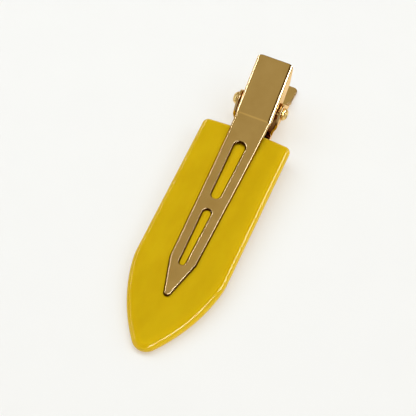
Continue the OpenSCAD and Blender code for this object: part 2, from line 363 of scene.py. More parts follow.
# %% The plate's sizes
PLATE_W, PLATE_L, PLATE_T = 24.0, 65.8, 3.0
EDGE_R = 1.45
BULGE, CORNER_R = 0.57, 1.65
SHOULDER_R, SHOULDER_TURN = 20.0, math.radians(11.3)
OGIVE_R, POINT_R = 44.0, 3.6
half_w = PLATE_W / 2
ogive_turn = math.acos((OGIVE_R * math.cos(SHOULDER_TURN) + SHOULDER_R
                        * (1 - math.cos(SHOULDER_TURN)) - half_w) / (OGIVE_R - POINT_R))
bulge_r = (half_w ** 2 + BULGE ** 2) / (2 * BULGE)
corner_turn = math.asin((half_w - CORNER_R) / (bulge_r - CORNER_R))
corner_y = (bulge_r - CORNER_R) * math.cos(corner_turn) - bulge_r
curve_l = (SHOULDER_R * math.sin(SHOULDER_TURN)
           + OGIVE_R * (math.sin(ogive_turn) - math.sin(SHOULDER_TURN))
           + POINT_R * (1 - math.sin(ogive_turn)))
print("the ogive turns", round(math.degrees(ogive_turn), 1), "degrees, over", round(curve_l, 2))

# %% The plate's outline
BULGE_STEPS, CORNER_STEPS, SIDE_STEPS = 12, 12, 8
SHOULDER_STEPS, OGIVE_STEPS, POINT_STEPS = 8, 28, 16
ON_MIDLINE = 1e-4


def arc_round(centre, r, turns):
    """Arc round a centre. A turn of 0 looks toward the handles, a quarter turn to the right."""
    ways = [Vector((math.sin(t), math.cos(t))) for t in turns]
    return [(centre + r * way, way) for way in ways]


def arc_down(start, r, a, b, steps):
    """Arc that runs down the right side, from heading a (0 is straight down) to heading b."""
    out = []
    for t in spread(a, b, steps)[1:]:
        out.append((start + r * Vector((math.cos(t) - math.cos(a), math.sin(a) - math.sin(t))),
                    Vector((math.cos(t), -math.sin(t)))))
    return out


right = arc_round(Vector((0, -bulge_r)), bulge_r, spread(0, corner_turn, BULGE_STEPS))
right += arc_round(Vector((half_w - CORNER_R, corner_y)), CORNER_R,
                   spread(corner_turn, math.pi / 2, CORNER_STEPS)[1:])
right += [(Vector((half_w, y)), Vector((1, 0)))
          for y in spread(corner_y, curve_l - PLATE_L, SIDE_STEPS)[1:]]
right += arc_down(right[-1][0], SHOULDER_R, 0, SHOULDER_TURN, SHOULDER_STEPS)
right += arc_down(right[-1][0], OGIVE_R, SHOULDER_TURN, ogive_turn, OGIVE_STEPS)
right += arc_down(right[-1][0], POINT_R, ogive_turn, math.pi / 2, POINT_STEPS)
left = [(Vector((-p.x, p.y)), Vector((-n.x, n.y))) for p, n in right if p.x > ON_MIDLINE]
plate_outline = [*left, *reversed(right)]
print("point at", [round(v, 2) for v in right[-1][0]])

# %% [markdown]
# Acetate lets a little light through. What enters on the left crosses the plate and leaves it at the rim,
# which glows most on the right and at the point. Real transmission would show this only in a slow render, so
# this glow is painted light: a mask on the vertices, which the material reads. The same mask paints the
# strip under the jaw's slots paler than the rest, painted light that lifts the shade of the slot walls
# there.

# %% Where the plate gets its painted glow
GLOW_REACH = 3.2
GLOW_MEAN, GLOW_RIGHT = 0.5, 0.35
GLOW_FACE, GLOW_SIDE, GLOW_SLOTS = 0.3, 0.7, 0.15
RIM_PARTS = 8
STRIP_HW, STRIP_FADE = 2.2, 1.2
STRIP_FROM, STRIP_TO, STRIP_END = -5, -43, 2


def ease(t):
    """0 up to 0, 1 from 1, smooth between."""
    t = min(1, max(0, t))
    return t * t * (3 - 2 * t)


rim_points = [(a + (b - a) * k / RIM_PARTS, m + (n - m) * k / RIM_PARTS)
              for (a, m), (b, n) in zip(plate_outline, plate_outline[1:] + plate_outline[:1])
              for k in range(RIM_PARTS)]


def rim_glow(p, steep):
    """Painted glow of a point near the rim, on the face and, more, on the rounded side."""
    q, n = min(rim_points, key=lambda rim: (p - rim[0]).length)
    facing = GLOW_MEAN + GLOW_RIGHT * (n.x - n.y)
    return facing * (GLOW_FACE * ease(1 - (p - q).length / GLOW_REACH)
                     + GLOW_SIDE * ease(2 * (1 - steep)))


def under_slots(p):
    """1 on the strip of the plate below the jaw's slots, which is painted paler, fading at its sides and
    ends.
    """
    return (ease((STRIP_HW - abs(p.x)) / STRIP_FADE)
            * ease((p.y - STRIP_TO) / STRIP_END) * ease((STRIP_FROM - p.y) / STRIP_END))


print("glow at the point", round(rim_glow(Vector((0, -PLATE_L)), 0), 2))

# %% [markdown]
# With its outline and its masks ready, the plate is a blank like the others, but thick, with
# edges so round that they nearly meet. It stays as it was drawn. The extra lines across it do
# not bend it: they only carry the masks smoothly over its flat faces.

# %% The plate


def as_drawn(p, n):
    """Shape of a piece that stays flat."""
    return p, n


MASK_LINES = (spread(0.6, 11.4, 9), spread(-64.8, -0.6, 53))
bm, layer = blank(plate_outline, [], -PLATE_T, 0, EDGE_R, EDGE_R, steps=12)
bend_lines(bm, *MASK_LINES)
# The plate's edge mask is painted light: the glow at the rim and the paler strip under the slots.
edge = bm.verts.layers.float["edge"]
for v in bm.verts:
    v[edge] = max(rim_glow(v.co.xy, v[layer].z), GLOW_SLOTS * under_slots(v.co))
plate = make_piece("yellow_plate", bm, layer, as_drawn)

# %% [markdown]
# Both levers are sheet metal, pressed from flat. They could be modelled bent, but then every
# hole and every rounded edge would have to be drawn on a slope. Folding a flat blank is how the
# press does it, and the same few numbers give the blank's length. A path is a start and a list
# of bends (where it starts, how long it is, how far it turns).

# %% Following a path of bends
SHEET = 0.7
ROLL, BURR = 0.2, 0.1
FOLD = 1.0
NO_BEND = 1e-9


def follow(bends, s, share=1.0):
    """(along, up, heading) at distance s, with every bend turned by that share of its angle."""
    x = z = heading = at = 0.0
    for start, length, angle in bends:
        if s <= start:
            break
        step = start - at
        x += step * math.cos(heading)
        z += step * math.sin(heading)
        run = min(s, start + length) - start
        bend = angle * share * run / length
        if abs(bend) > NO_BEND:
            r = run / bend
            x += r * (math.sin(heading + bend) - math.sin(heading))
            z -= r * (math.cos(heading + bend) - math.cos(heading))
        else:
            x += run * math.cos(heading)
            z += run * math.sin(heading)
        heading += bend
        at = start + run
    x += (s - at) * math.cos(heading)
    z += (s - at) * math.sin(heading)
    return x, z, heading


quarter_end = follow([(0, 1.571, 1.571)], 1.571)
print("a quarter bend of radius 1 ends at", [round(v, 3) for v in quarter_end])

# %% Pressing a blank


def pressed(across, along, first, share):
    """Shape for make_piece: folds a blank across its width, then along its length.
    first is (s, y, z) where the lengthwise path starts; share(s) fades the cross bends."""
    s0, y0, z0 = first

    def shape(p, n):
        side = -1 if p.x < 0 else 1
        x, z, a = follow(across, abs(p.x), share(p.y))
        nx, nz = side * n.x, n.z
        flat_x = x - p.z * math.sin(a)
        flat_z = z + p.z * math.cos(a)
        nx, nz = nx * math.cos(a) - nz * math.sin(a), nx * math.sin(a) + nz * math.cos(a)
        y, h, b = follow(along, p.y - s0)
        place_y = y0 + y - flat_z * math.sin(b)
        place_z = z0 + h + flat_z * math.cos(b)
        ny, nz = n.y * math.cos(b) - nz * math.sin(b), n.y * math.sin(b) + nz * math.cos(b)
        return Vector((side * flat_x, place_y, place_z)), Vector((side * nx, ny, nz))

    return shape


flat_press = pressed([], [], (0, 0, 0), lambda s: 1.0)
print("a point that no bend moves:", flat_press(Vector((1, 2, 0)), Vector((0, 0, 1)))[0][:])

# %% [markdown]
# The jaw of the upper lever has two tapered slots with round ends, which make it lighter and
# let the plate shine through. As holes in the blank they get the same rolled edge as the
# outline. Both levers are the same left and right, so only one side of each is listed.

# %% Slots, and outlines that are the same on both sides
SLOT_STEPS = 14


def slot_hole(y0, y1, r0, r1):
    """Tapered slot with round ends, as a hole."""
    lean = math.asin((r0 - r1) / abs(y0 - y1))
    hole = []
    for y, r, a, b in ((y0, r0, -lean, math.pi + lean), (y1, r1, math.pi + lean, math.tau - lean)):
        for t in spread(a, b, SLOT_STEPS):
            way = Vector((math.cos(t), math.sin(t)))
            hole.append((Vector((0, y)) + r * way, -way))
    return hole[::-1]


def both_sides(half):
    """Corners of a whole outline, from those up its right side."""
    return [*half, *[(-x, y, r) for x, y, r in reversed(half)]]


print("points round a slot:", len(slot_hole(0, -10, 1.5, 1.2)))

# %% [markdown]
# The upper lever is one stamping: a flat jaw on the plate, which lifts in one long arc to the
# knee, and a handle behind it, whose side walls fold down and end in ears for the rivet. The top
# face of its blank is the reference, because that face is seen. The walls' fold is slack at
# first and then tight, as sheet folds over a worn die, which is what widens the light line.

# %% The upper lever's sizes
KNEE_Y, KNEE_Z = 2.85, 1.75
JAW_HW, JAW_SHOULDER_HW, JAW_SHOULDER_Y = 4.65, 3.55, 41.3
JAW_L, TIP_R, JAW_LIFT_Y = 51.35, 1.0, 20.0
JAW_TOP = 0.75
UPPER_SLOPE, UPPER_L, UPPER_HW = math.radians(24), 15.95, 4.9
# (centre of the near end, centre of the far end, near radius, far radius) of each slot.
SLOTS = ((-6.5, -21.0, 1.42, 1.12), (-26.9, -41.5, 0.97, 0.67))
PIN_HOLE_R = 1.05
SLACK_AT, SLACK_L, SLACK_TURN = 3.75, 0.55, math.radians(12)
TIGHT_AT = SLACK_AT + SLACK_L
slack_x, slack_z, _ = follow([(SLACK_AT, SLACK_L, SLACK_TURN)], TIGHT_AT)
tight_r = (UPPER_HW - slack_x) / (1 - math.sin(SLACK_TURN))
tight_l = tight_r * (math.pi / 2 - SLACK_TURN)
wall_u = TIGHT_AT + tight_l - slack_z - tight_r * math.cos(SLACK_TURN)
print("the walls' tight fold has radius", round(tight_r, 3))

# %% The jaw along the blank
lift_rise = KNEE_Z - JAW_TOP
lift_run = JAW_LIFT_Y + KNEE_Y
lift_r = (lift_run ** 2 + lift_rise ** 2) / (2 * lift_rise)
lift_turn = math.asin(lift_run / lift_r)
lift_l = lift_r * lift_turn
s_lift = -lift_l
s_start = s_lift - (JAW_L - JAW_LIFT_Y)


def on_jaw(y):
    """Distance along the blank of a point y of the jaw, the knee being zero."""
    return s_lift + (y + JAW_LIFT_Y) if y < -JAW_LIFT_Y else (y - KNEE_Y) * lift_l / lift_run


print("the jaw is", round(-s_start, 2), "long and lifts by", round(math.degrees(lift_turn), 2))

# %% The upper lever's outline


def in_handle(slope, knee_y, knee_z, y, z):
    """A point of the plate's frame, along and above a handle that starts at its knee."""
    dy, dz = y - knee_y, z - knee_z
    return (dy * math.cos(slope) + dz * math.sin(slope),
            -dy * math.sin(slope) + dz * math.cos(slope))


upper_pin = in_handle(UPPER_SLOPE, KNEE_Y, KNEE_Z, PIN_Y, PIN_Z)
ear_at = (wall_u - upper_pin[1], upper_pin[0])
ear_front = (wall_u + 1.0, 0.3)
ear_back = (wall_u + 4.5, 12.3)
tip = (0, on_jaw(-JAW_L + TIP_R))
shoulder = (JAW_SHOULDER_HW, on_jaw(-JAW_SHOULDER_Y))
left_shoulder = (-shoulder[0], shoulder[1])
# Corners up the right side: (half width, distance along the blank, radius).
upper_side = [
    (*shoulder, 1.5),
    (JAW_HW, -0.5, 0.6),
    (*ear_front, 0.5),
    round_corner(ear_front, ear_back, ear_at, 2.3),
    (*ear_back, 1.5),
    (wall_u - 0.2, UPPER_L, 2.8),
]
upper_outline = rounded([round_corner(left_shoulder, shoulder, tip, TIP_R),
                         *both_sides(upper_side)])
upper_holes = [slot_hole(on_jaw(a), on_jaw(b), c, d) for a, b, c, d in SLOTS]
upper_holes += [rivet_hole(side * ear_at[0], ear_at[1], PIN_HOLE_R) for side in (-1, 1)]
print("upper blank:", len(upper_outline), "points and", len(upper_holes), "holes")

# %% [markdown]
# Two things change along the upper lever. Its dark cut side, which is also painted shade, shows round the
# jaw, where it is the thin shadow on the plate, and at the handle's end, while the folded walls hide theirs.
# And its inside round the hinge gets painted shade, where the walls and the spring shade it. Both are values
# on the vertices, set before the fold, while distance along the lever is still a plain number.

# %% What changes along the upper lever
LEAN, LEAN_RIGHT, LEAN_STOPS = 0.29, 0.07, 14
WALL_SHARE, JAW_STOPS, END_STARTS = 0.15, -0.3, 15
# Where the painted shade on the inside round the hinge rises and falls.
HINGE_SHADE_FROM, HINGE_SHADE_RISE, HINGE_SHADE_TO, HINGE_SHADE_FALL = -2.5, 2, 12.5, 2.5
WALLS_FROM, WALLS_RISE = -0.5, 0.9


def leaning(p, n):
    """A stamped side leans in: most where it faces left, and not at the handle's free end."""
    return (LEAN - LEAN_RIGHT * n.x) * (1 - ease(p.y - LEAN_STOPS))


def jaw_and_end(s):
    """How much of the dark cut side and its painted shade shows: all of it but on the walls."""
    return min(1, max(WALL_SHARE, JAW_STOPS - s, s - END_STARTS))


def painted_hinge_shade(s, facing):
    """How much painted shade a blank's inner face gets, round the hinge."""
    return ease((s - HINGE_SHADE_FROM) / HINGE_SHADE_RISE) * ease((HINGE_SHADE_TO - s) / HINGE_SHADE_FALL) * max(0, facing)


def walls(s):
    """The side walls' bend starts at the knee and is whole a little way behind it."""
    return ease((s - WALLS_FROM) / WALLS_RISE)


# The edge mask printed here is the dark cut side with its painted shade.
print("cut side on the jaw and on a wall:", jaw_and_end(-9), jaw_and_end(5))

# %% The upper lever, pressed
HINGE_LINES = (HINGE_SHADE_FROM, -1.5, WALLS_FROM, 0.25)
bm, layer = blank(upper_outline, upper_holes, -SHEET, 0, ROLL, BURR, steps=8, lean=leaning)
# Masks of painted shade: the edge gets the dark cut side and its painted shade, and the inside round the
# hinge gets painted shade.
edge, hinge_shade = (bm.verts.layers.float[name] for name in ("edge", "hinge_shade"))
for v in bm.verts:
    v[edge] *= jaw_and_end(v.co.y)
    v[hinge_shade] = painted_hinge_shade(v.co.y, -v[layer].z)
bend_lines(bm, [*spread(SLACK_AT, TIGHT_AT, 3), *spread(TIGHT_AT, TIGHT_AT + tight_l, 9)],
           [*spread(s_lift, -FOLD / 2, 12), *spread(-FOLD / 2, FOLD / 2, 4), *HINGE_LINES,
            *spread(10, 13, 3)])
upper_across = [(SLACK_AT, SLACK_L, -SLACK_TURN), (TIGHT_AT, tight_l, SLACK_TURN - math.pi / 2)]
upper_along = [(s_lift - s_start, lift_l - FOLD / 2, lift_turn),
               (-s_start - FOLD / 2, FOLD, UPPER_SLOPE - lift_turn)]
upper = make_piece("upper_lever_stamping", bm, layer,
                   pressed(upper_across, upper_along, (s_start, -JAW_L, JAW_TOP), walls))

# %% [markdown]
# The lower lever carries the plate: its leaf is glued flat under it, and its walls fold up and
# step outward to ears that stand outside those of the upper lever. It is pressed like the upper
# one, but its bottom face is the reference, and its handle flattens again toward the free end.

# %% The lower lever's sizes
LOWER_KNEE_Y, LOWER_SLOPE, LOWER_L, LOWER_HW = 2.3, math.radians(13.3), 19.6, 5.5
LEAF_SHOULDER_Y, LEAF_L, LEAF_ROOT_Y, LEAF_TIP_R = 36.5, 46.0, 0.6, 0.75
EAR_HW, FLARE_Z, FLARE_H = 6.2, 1.1, 1.3
BEND_R = 1.0
QUARTER = BEND_R * math.pi / 2
leaf_low = -PLATE_T - SHEET
flare = math.atan2(EAR_HW - LOWER_HW, FLARE_H)
flare_l = FLARE_H / math.cos(flare)
lower_pin = in_handle(-LOWER_SLOPE, LOWER_KNEE_Y, leaf_low, PIN_Y, PIN_Z)
u_low = LOWER_HW - BEND_R + QUARTER
u_flare = u_low + FLARE_Z - BEND_R
u_high = u_flare + flare_l - (FLARE_Z + FLARE_H)
print("the ears step outward at", round(math.degrees(flare), 1), "degrees")

# %% The lower lever's outline
low_at = (u_high + lower_pin[1], lower_pin[0])
low_front = (u_low, 0.4)
low_back = (u_flare + 0.1, 11.9)
leaf_shoulder = (JAW_SHOULDER_HW, -LEAF_SHOULDER_Y - LOWER_KNEE_Y)
left_leaf = (-leaf_shoulder[0], leaf_shoulder[1])
leaf_tip = (0, -LEAF_L + LEAF_TIP_R - LOWER_KNEE_Y)
# Corners up the right side: (half width, distance along the blank, radius).
lower_side = [
    (*leaf_shoulder, 1.5),
    (JAW_HW, LEAF_ROOT_Y - LOWER_KNEE_Y, 0.3),
    (LOWER_HW, LEAF_ROOT_Y - LOWER_KNEE_Y, 0.35),
    (LOWER_HW, 0, 0.3),
    (*low_front, 0.3),
    round_corner(low_front, low_back, low_at, 2.4),
    (*low_back, 2.0),
    (LOWER_HW, 14.6, 3.0),
    (LOWER_HW, LOWER_L, 1.3),
]
lower_outline = rounded([round_corner(left_leaf, leaf_shoulder, leaf_tip, LEAF_TIP_R),
                         *both_sides(lower_side)])
lower_holes = [rivet_hole(side * low_at[0], low_at[1], PIN_HOLE_R) for side in (-1, 1)]
print("lower blank:", len(lower_outline), "points and", len(lower_holes), "holes")

# %% The lower lever, pressed
FLARE_BEND, FLARE_LEAD, WALL_LEAD = 0.5, 0.05, 0.02
FLATTENS, FLATTENS_FROM, FLATTENS_OVER = 0.95, 11.8, 3
END_SHARE, END_FROM = 0.7, 12
flare_in, flare_out = u_flare - FLARE_LEAD, u_flare + flare_l - FLARE_BEND / 2


def lower_walls(s):
    """As walls, but the handle flattens again toward its free end."""
    return walls(s) * (1 - FLATTENS * ease((s - FLATTENS_FROM) / FLATTENS_OVER))


bm, layer = blank(lower_outline, lower_holes, 0, SHEET, ROLL, BURR, steps=5)
# Masks of painted shade: the edge gets the dark cut side and its painted shade, most at the handle's free
# end, and the inside round the hinge gets painted shade.
edge, hinge_shade = (bm.verts.layers.float[name] for name in ("edge", "hinge_shade"))
for v in bm.verts:
    v[edge] *= max(WALL_SHARE, END_SHARE * ease(v.co.y - END_FROM))
    v[hinge_shade] = painted_hinge_shade(v.co.y, v[layer].z)
bend_lines(bm, [*spread(LOWER_HW - BEND_R, u_low, 8), *spread(flare_in, u_flare + FLARE_BEND, 4),
                *spread(flare_out, u_flare + flare_l + FLARE_BEND / 2, 4)],
           [*spread(-FOLD / 2, FOLD / 2, 4), *HINGE_LINES, *spread(10, 15, 10)])
lower_across = [(LOWER_HW - BEND_R, QUARTER - WALL_LEAD, math.pi / 2),
                (flare_in, FLARE_BEND, -flare),
                (flare_out, FLARE_BEND, flare)]
lower_along = [(LEAF_L + LOWER_KNEE_Y - FOLD / 2, FOLD, -LOWER_SLOPE)]
lower = make_piece("lower_lever_stamping", bm, layer,
                   pressed(lower_across, lower_along,
                           (-LEAF_L - LOWER_KNEE_Y, -LEAF_L, leaf_low), lower_walls))

# %% [markdown]
# The levers turn on a rivet: a plain shaft with a head at each end, domed by the riveting tool,
# which leaves a shallow recess. A cylinder and two squashed spheres would leave a seam inside.
# Turning one profile round the axis, as on a lathe, gives a single closed piece.

# %% The rivet's profile
PIN_R, HEAD_R, HEAD_RIM, DOME = 1.0, 1.65, 0.35, 1.0
HEAD_GAP, HEAD_ROUND, HEAD_TAPER, CREASE = 0.03, 0.08, 0.05, 0.001
RECESS, RECESS_R, RECESS_FADE = 0.5, 0.95, 0.35
ROUND_STEPS, DOME_STEPS = 4, 14
head_x = EAR_HW + HEAD_GAP
profile = [(0, PIN_R), (head_x - CREASE, PIN_R), (head_x, PIN_R), (head_x, HEAD_R - HEAD_ROUND)]
for k in range(1, ROUND_STEPS + 1):
    t = math.pi / 2 * k / ROUND_STEPS
    profile.append((head_x + HEAD_ROUND * (1 - math.cos(t)),
                    HEAD_R - HEAD_ROUND * (1 - math.sin(t))))
profile.append((head_x + HEAD_RIM - HEAD_TAPER, HEAD_R))
dome_r = (HEAD_R ** 2 + DOME ** 2) / (2 * DOME)
dome_turn = math.asin(min(1, HEAD_R / dome_r))
for k in range(DOME_STEPS + 1):
    t = dome_turn * (1 - k / DOME_STEPS)
    r = dome_r * math.sin(t)
    profile.append((head_x + HEAD_RIM + DOME - dome_r * (1 - math.cos(t))
                    - RECESS * ease((RECESS_R - r) / RECESS_FADE), r))
profile = [(-x, r) for x, r in reversed(profile)] + profile[1:]
print("the rivet's profile has", len(profile), "points")

# %% The rivet, turned
AROUND = 48
ON_AXIS = 1e-6
SHARP_FROM = math.radians(38)
bm = bmesh.new()
rows = []
for x, r in profile:
    ring = []
    for k in range(AROUND):
        t = math.tau * k / AROUND
        if r < ON_AXIS and ring:
            ring.append(ring[0])
            continue
        ring.append(bm.verts.new(place((x, PIN_Y + r * math.cos(t), PIN_Z + r * math.sin(t)))))
    rows.append(ring)
for a, b in zip(rows, rows[1:]):
    for k in range(AROUND):
        j = (k + 1) % AROUND
        corners = []
        for v in (a[k], b[k], b[j], a[j]):
            if v not in corners:
                corners.append(v)
        bm.faces.new(corners)
bmesh.ops.recalc_face_normals(bm, faces=bm.faces[:])
mesh = bpy.data.meshes.new("domed_hinge_pin")
bm.to_mesh(mesh)
bm.free()
mesh.shade_smooth()
mesh.set_sharp_from_angle(angle=SHARP_FROM)
pin = add_object("domed_hinge_pin", mesh)
print("pin", len(mesh.polygons), "faces")

# %% [markdown]
# The spring is one wire: in along its upper leg, round the coil, and out along its lower leg.
# A screw modifier makes a coil but no legs. A path of points with a round bevel makes both, and
# each leg's slope is worked out so that it lies against its handle.

# %% The spring's path
WIRE_D, COIL_R, PITCH, TURNS, LEG_L, WIRE_GAP = 0.7, 1.75, 0.8, 7, 7.5, 0.06
TURN_STEPS = 36
LEG_SHARES = (0.05, 0.25, 0.5, 0.75, 1)


def leg_slope(slope, gap):
    """Slope of a leg that meets a handle of this slope, whose inner face is gap from the rivet."""
    return slope + math.asin((gap - WIRE_D / 2 - WIRE_GAP - COIL_R) / LEG_L)


def leg(start, slope):
    """Points of a straight leg, from near the coil outward."""
    return [(start[0], start[1] + LEG_L * f * math.cos(slope),
             start[2] + LEG_L * f * math.sin(slope)) for f in LEG_SHARES]


leg_up = leg_slope(UPPER_SLOPE, -upper_pin[1] - SHEET)
leg_down = -leg_slope(LOWER_SLOPE, lower_pin[1] - SHEET)
turn_from = leg_up + math.pi / 2
turn_to = leg_down - math.pi / 2 + math.tau * TURNS
half_coil = PITCH * (turn_to - turn_from) / (2 * math.tau)
steps = math.ceil(TURN_STEPS * (turn_to - turn_from) / math.tau)
path = [(x, PIN_Y + COIL_R * math.cos(t), PIN_Z + COIL_R * math.sin(t)) for x, t in
        zip(spread(half_coil, -half_coil, steps), spread(turn_from, turn_to, steps))]
path = [*reversed(leg(path[0], leg_up)), *path, *leg(path[-1], leg_down)]
print("turns in the coil:", round((turn_to - turn_from) / math.tau, 2))

# %% The spring
CUT_ENDS_FROM = math.radians(50)
wire = bpy.data.curves.new("wire", "CURVE")
wire.dimensions = "3D"
wire.bevel_depth = WIRE_D / 2 * MM
wire.bevel_resolution = 3
wire.use_fill_caps = True
spline = wire.splines.new("POLY")
spline.points.add(len(path) - 1)
for point, p in zip(spline.points, path):
    point.co = (*place(p), 1)
holder = add_object("wire", wire)
mesh = bpy.data.meshes.new_from_object(holder.evaluated_get(bpy.context.evaluated_depsgraph_get()))
bpy.data.objects.remove(holder)
mesh.name = "coil_spring"
mesh.shade_smooth()
mesh.set_sharp_from_angle(angle=CUT_ENDS_FROM)
spring = add_object("coil_spring", mesh)
print("spring", len(mesh.polygons), "faces")

# %% [markdown]
# Each piece rides on the body of the node that it stands for. The spring could ride on one lever
# and leave the other behind when the jaw opens. Blended from end to end of its coil, its right
# leg follows the upper lever, its left leg the lower one, and the coil between them twists.

# %% Bodies
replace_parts(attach(plate, "base"), "acetate_plate")
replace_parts(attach(lower, "base"), "lower_lever")
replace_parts(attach(pin, "base"), "hinge_pin")
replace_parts(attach(upper, "arm"), "upper_lever")
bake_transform(spring, "base", "arm", start=place((-half_coil, PIN_Y, PIN_Z)),
         end=place((half_coil, PIN_Y, PIN_Z)))
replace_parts(spring, "spring")
print("pieces on bodies:", [obj.name for obj in (plate, lower, upper, pin, spring)])

# %% [markdown]
# A material is a tree of nodes. Each could be wired by hand where it is needed, but the same
# few moves come back in every finish, so they are small helpers: feed a socket, do a sum, make
# a noise, stretch it, raise a bump and colour by a ramp.

# %% Sockets, sums and noise


def feed(tree, value, socket):
    """Links a socket, or sets a plain value."""
    if isinstance(value, bpy.types.NodeSocket):
        tree.links.new(value, socket)
    else:
        socket.default_value = value


def maths(tree, operation, *values):
    """Math node of a few values; returns its output."""
    node = tree.nodes.new("ShaderNodeMath")
    node.operation = operation
    for value, socket in zip(values, node.inputs):
        feed(tree, value, socket)
    return node.outputs[0]


def noise(tree, vector, scale, detail, rough=0.5):
    """Noise of this fineness over a vector; returns its value."""
    node = tree.nodes.new("ShaderNodeTexNoise")
    feed(tree, scale, node.inputs["Scale"])
    node.inputs["Detail"].default_value = detail
    node.inputs["Roughness"].default_value = rough
    tree.links.new(vector, node.inputs["Vector"])
    return node.outputs["Fac"]


def stretched(tree, vector, scale):
    """The vector, with each of its axes scaled."""
    node = tree.nodes.new("ShaderNodeMapping")
    node.inputs["Scale"].default_value = scale
    tree.links.new(vector, node.inputs["Vector"])
    return node.outputs["Vector"]


print("helpers", [f.__name__ for f in (feed, maths, noise, stretched)])

# %% Bumps and ramps


def bump(tree, height, strength, distance, normal=None):
    """Normal that a height raises, on top of another normal where there is one."""
    node = tree.nodes.new("ShaderNodeBump")
    node.inputs["Strength"].default_value = strength
    node.inputs["Distance"].default_value = distance
    tree.links.new(height, node.inputs["Height"])
    if normal:
        tree.links.new(normal, node.inputs["Normal"])
    return node.outputs["Normal"]


def ramp(tree, value, stops):
    """Colour ramp through (position, (r, g, b)) stops."""
    node = tree.nodes.new("ShaderNodeValToRGB")
    elements = node.color_ramp.elements
    while len(elements) < len(stops):
        elements.new(0.5)
    for element, (position, rgb) in zip(elements, stops):
        element.position = position
        element.color = (*rgb, 1)
    tree.links.new(value, node.inputs["Fac"])
    return node.outputs["Color"]


print("helpers", [f.__name__ for f in (bump, ramp)])

# %% [markdown]
# Three effects are used by more than one finish: fine rub marks, which run mostly one way; a
# slow waviness, as no stamped or moulded face is quite flat; and a second colour where a mask
# on the mesh says so. Copies of their nodes in each material would drift apart, so each is a
# node group, with its own values wherever it is placed.

# %% Making and placing a shared effect


def shared_effect(name, inputs, outputs):
    """Node group with named sockets; returns its tree, its inputs and its outputs."""
    group = bpy.data.node_groups.new(name, "ShaderNodeTree")
    for label, kind, value in inputs:
        socket = group.interface.new_socket(label, in_out="INPUT", socket_type=kind)
        socket.default_value = value
    for label, kind in outputs:
        group.interface.new_socket(label, in_out="OUTPUT", socket_type=kind)
    return (group, group.nodes.new("NodeGroupInput").outputs,
            group.nodes.new("NodeGroupOutput").inputs)


def use_effect(tree, group, **values):
    """The group placed in a material's tree, with these values; returns its outputs."""
    node = tree.nodes.new("ShaderNodeGroup")
    node.node_tree = group
    for name, value in values.items():
        feed(tree, value, node.inputs[name])
    return node.outputs


print("node groups before the first effect:", len(bpy.data.node_groups))

# %% The shared effects
RUBS_FINENESS, PATCH_FINENESS = (9000, 600, 9000), 260
MARK_HEIGHT = 0.00002
rubs, given, result = shared_effect(
    "rub_marks", [("Vector", "NodeSocketVector", (0, 0, 0)), ("Amount", "NodeSocketFloat", 1.0)],
    [("Height", "NodeSocketFloat"), ("Dull", "NodeSocketFloat")])
fine = noise(rubs, stretched(rubs, given["Vector"], RUBS_FINENESS), 1, 2)
patch = noise(rubs, given["Vector"], PATCH_FINENESS, 3)
rubs.links.new(maths(rubs, "MULTIPLY", fine, given["Amount"]), result["Height"])
rubs.links.new(maths(rubs, "MULTIPLY", patch, given["Amount"]), result["Dull"])

waves, given, result = shared_effect(
    "slow_waves", [("Vector", "NodeSocketVector", (0, 0, 0)), ("Size", "NodeSocketFloat", 100.0)],
    [("Height", "NodeSocketFloat")])
waves.links.new(noise(waves, given["Vector"], given["Size"], 1), result["Height"])

second, given, result = shared_effect(
    "second_colour", [("Colour", "NodeSocketColor", (1, 1, 1, 1)),
                      ("Second", "NodeSocketColor", (0, 0, 0, 1)),
                      ("Mask", "NodeSocketFloat", 0.0)],
    [("Colour", "NodeSocketColor")])
mix = second.nodes.new("ShaderNodeMix")
mix.data_type = "RGBA"
MIX_A, MIX_B, MIX_OUT = 6, 7, 2
for name, socket in (("Mask", mix.inputs["Factor"]), ("Colour", mix.inputs[MIX_A]),
                     ("Second", mix.inputs[MIX_B])):
    second.links.new(given[name], socket)
second.links.new(mix.outputs[MIX_OUT], result["Colour"])
print("shared effects", [group.name for group in (rubs, waves, second)])

# %% Starting a material


def material(name):
    """New material: (material, its tree, its shader, where a point is on the piece)."""
    mat = bpy.data.materials.new(name)
    mat.use_nodes = True
    tree = mat.node_tree
    where = tree.nodes.new("ShaderNodeTexCoord").outputs["Object"]
    return mat, tree, tree.nodes["Principled BSDF"], where


def masked(tree, mask, colour, other):
    """The colour, going over to the other one where the mesh's mask is above 0."""
    share = tree.nodes.new("ShaderNodeAttribute")
    share.attribute_name = mask
    return use_effect(tree, second, Colour=colour, Second=(*other, 1),
                      Mask=share.outputs["Fac"])["Colour"]


masks = [a.name for a in upper.data.attributes if a.domain == "POINT" and a.data_type == "FLOAT"]
print("masks on the upper lever:", sorted(masks))

# %% [markdown]
# Gilt steel is thin gold-coloured plating over steel: a mirror-like metal. An image texture could carry its
# small changes, but noise in the piece's own space needs no unwrapping. Its colour drifts a little and its
# faces are slightly wavy. Its cut sides are dark, with painted shade along the jaw's edges on the plate, and
# its inside round the hinge gets painted shade. The rivet is plated too, but beaten, so its waves are finer
# and deeper.

# %% Gilt steel and the rivet
GRAZING_GILT = (0.97, 0.80, 0.56, 1)
# Colours of the dark cut side with its painted shade, and of the painted shade inside round the hinge.
CUT_SIDE_AND_SHADE, PAINTED_HINGE_SHADE = (0.06, 0.022, 0.005), (0.20, 0.05, 0.01)
DULL_MARKS, WAVE_HEIGHT = 0.06, 0.0002


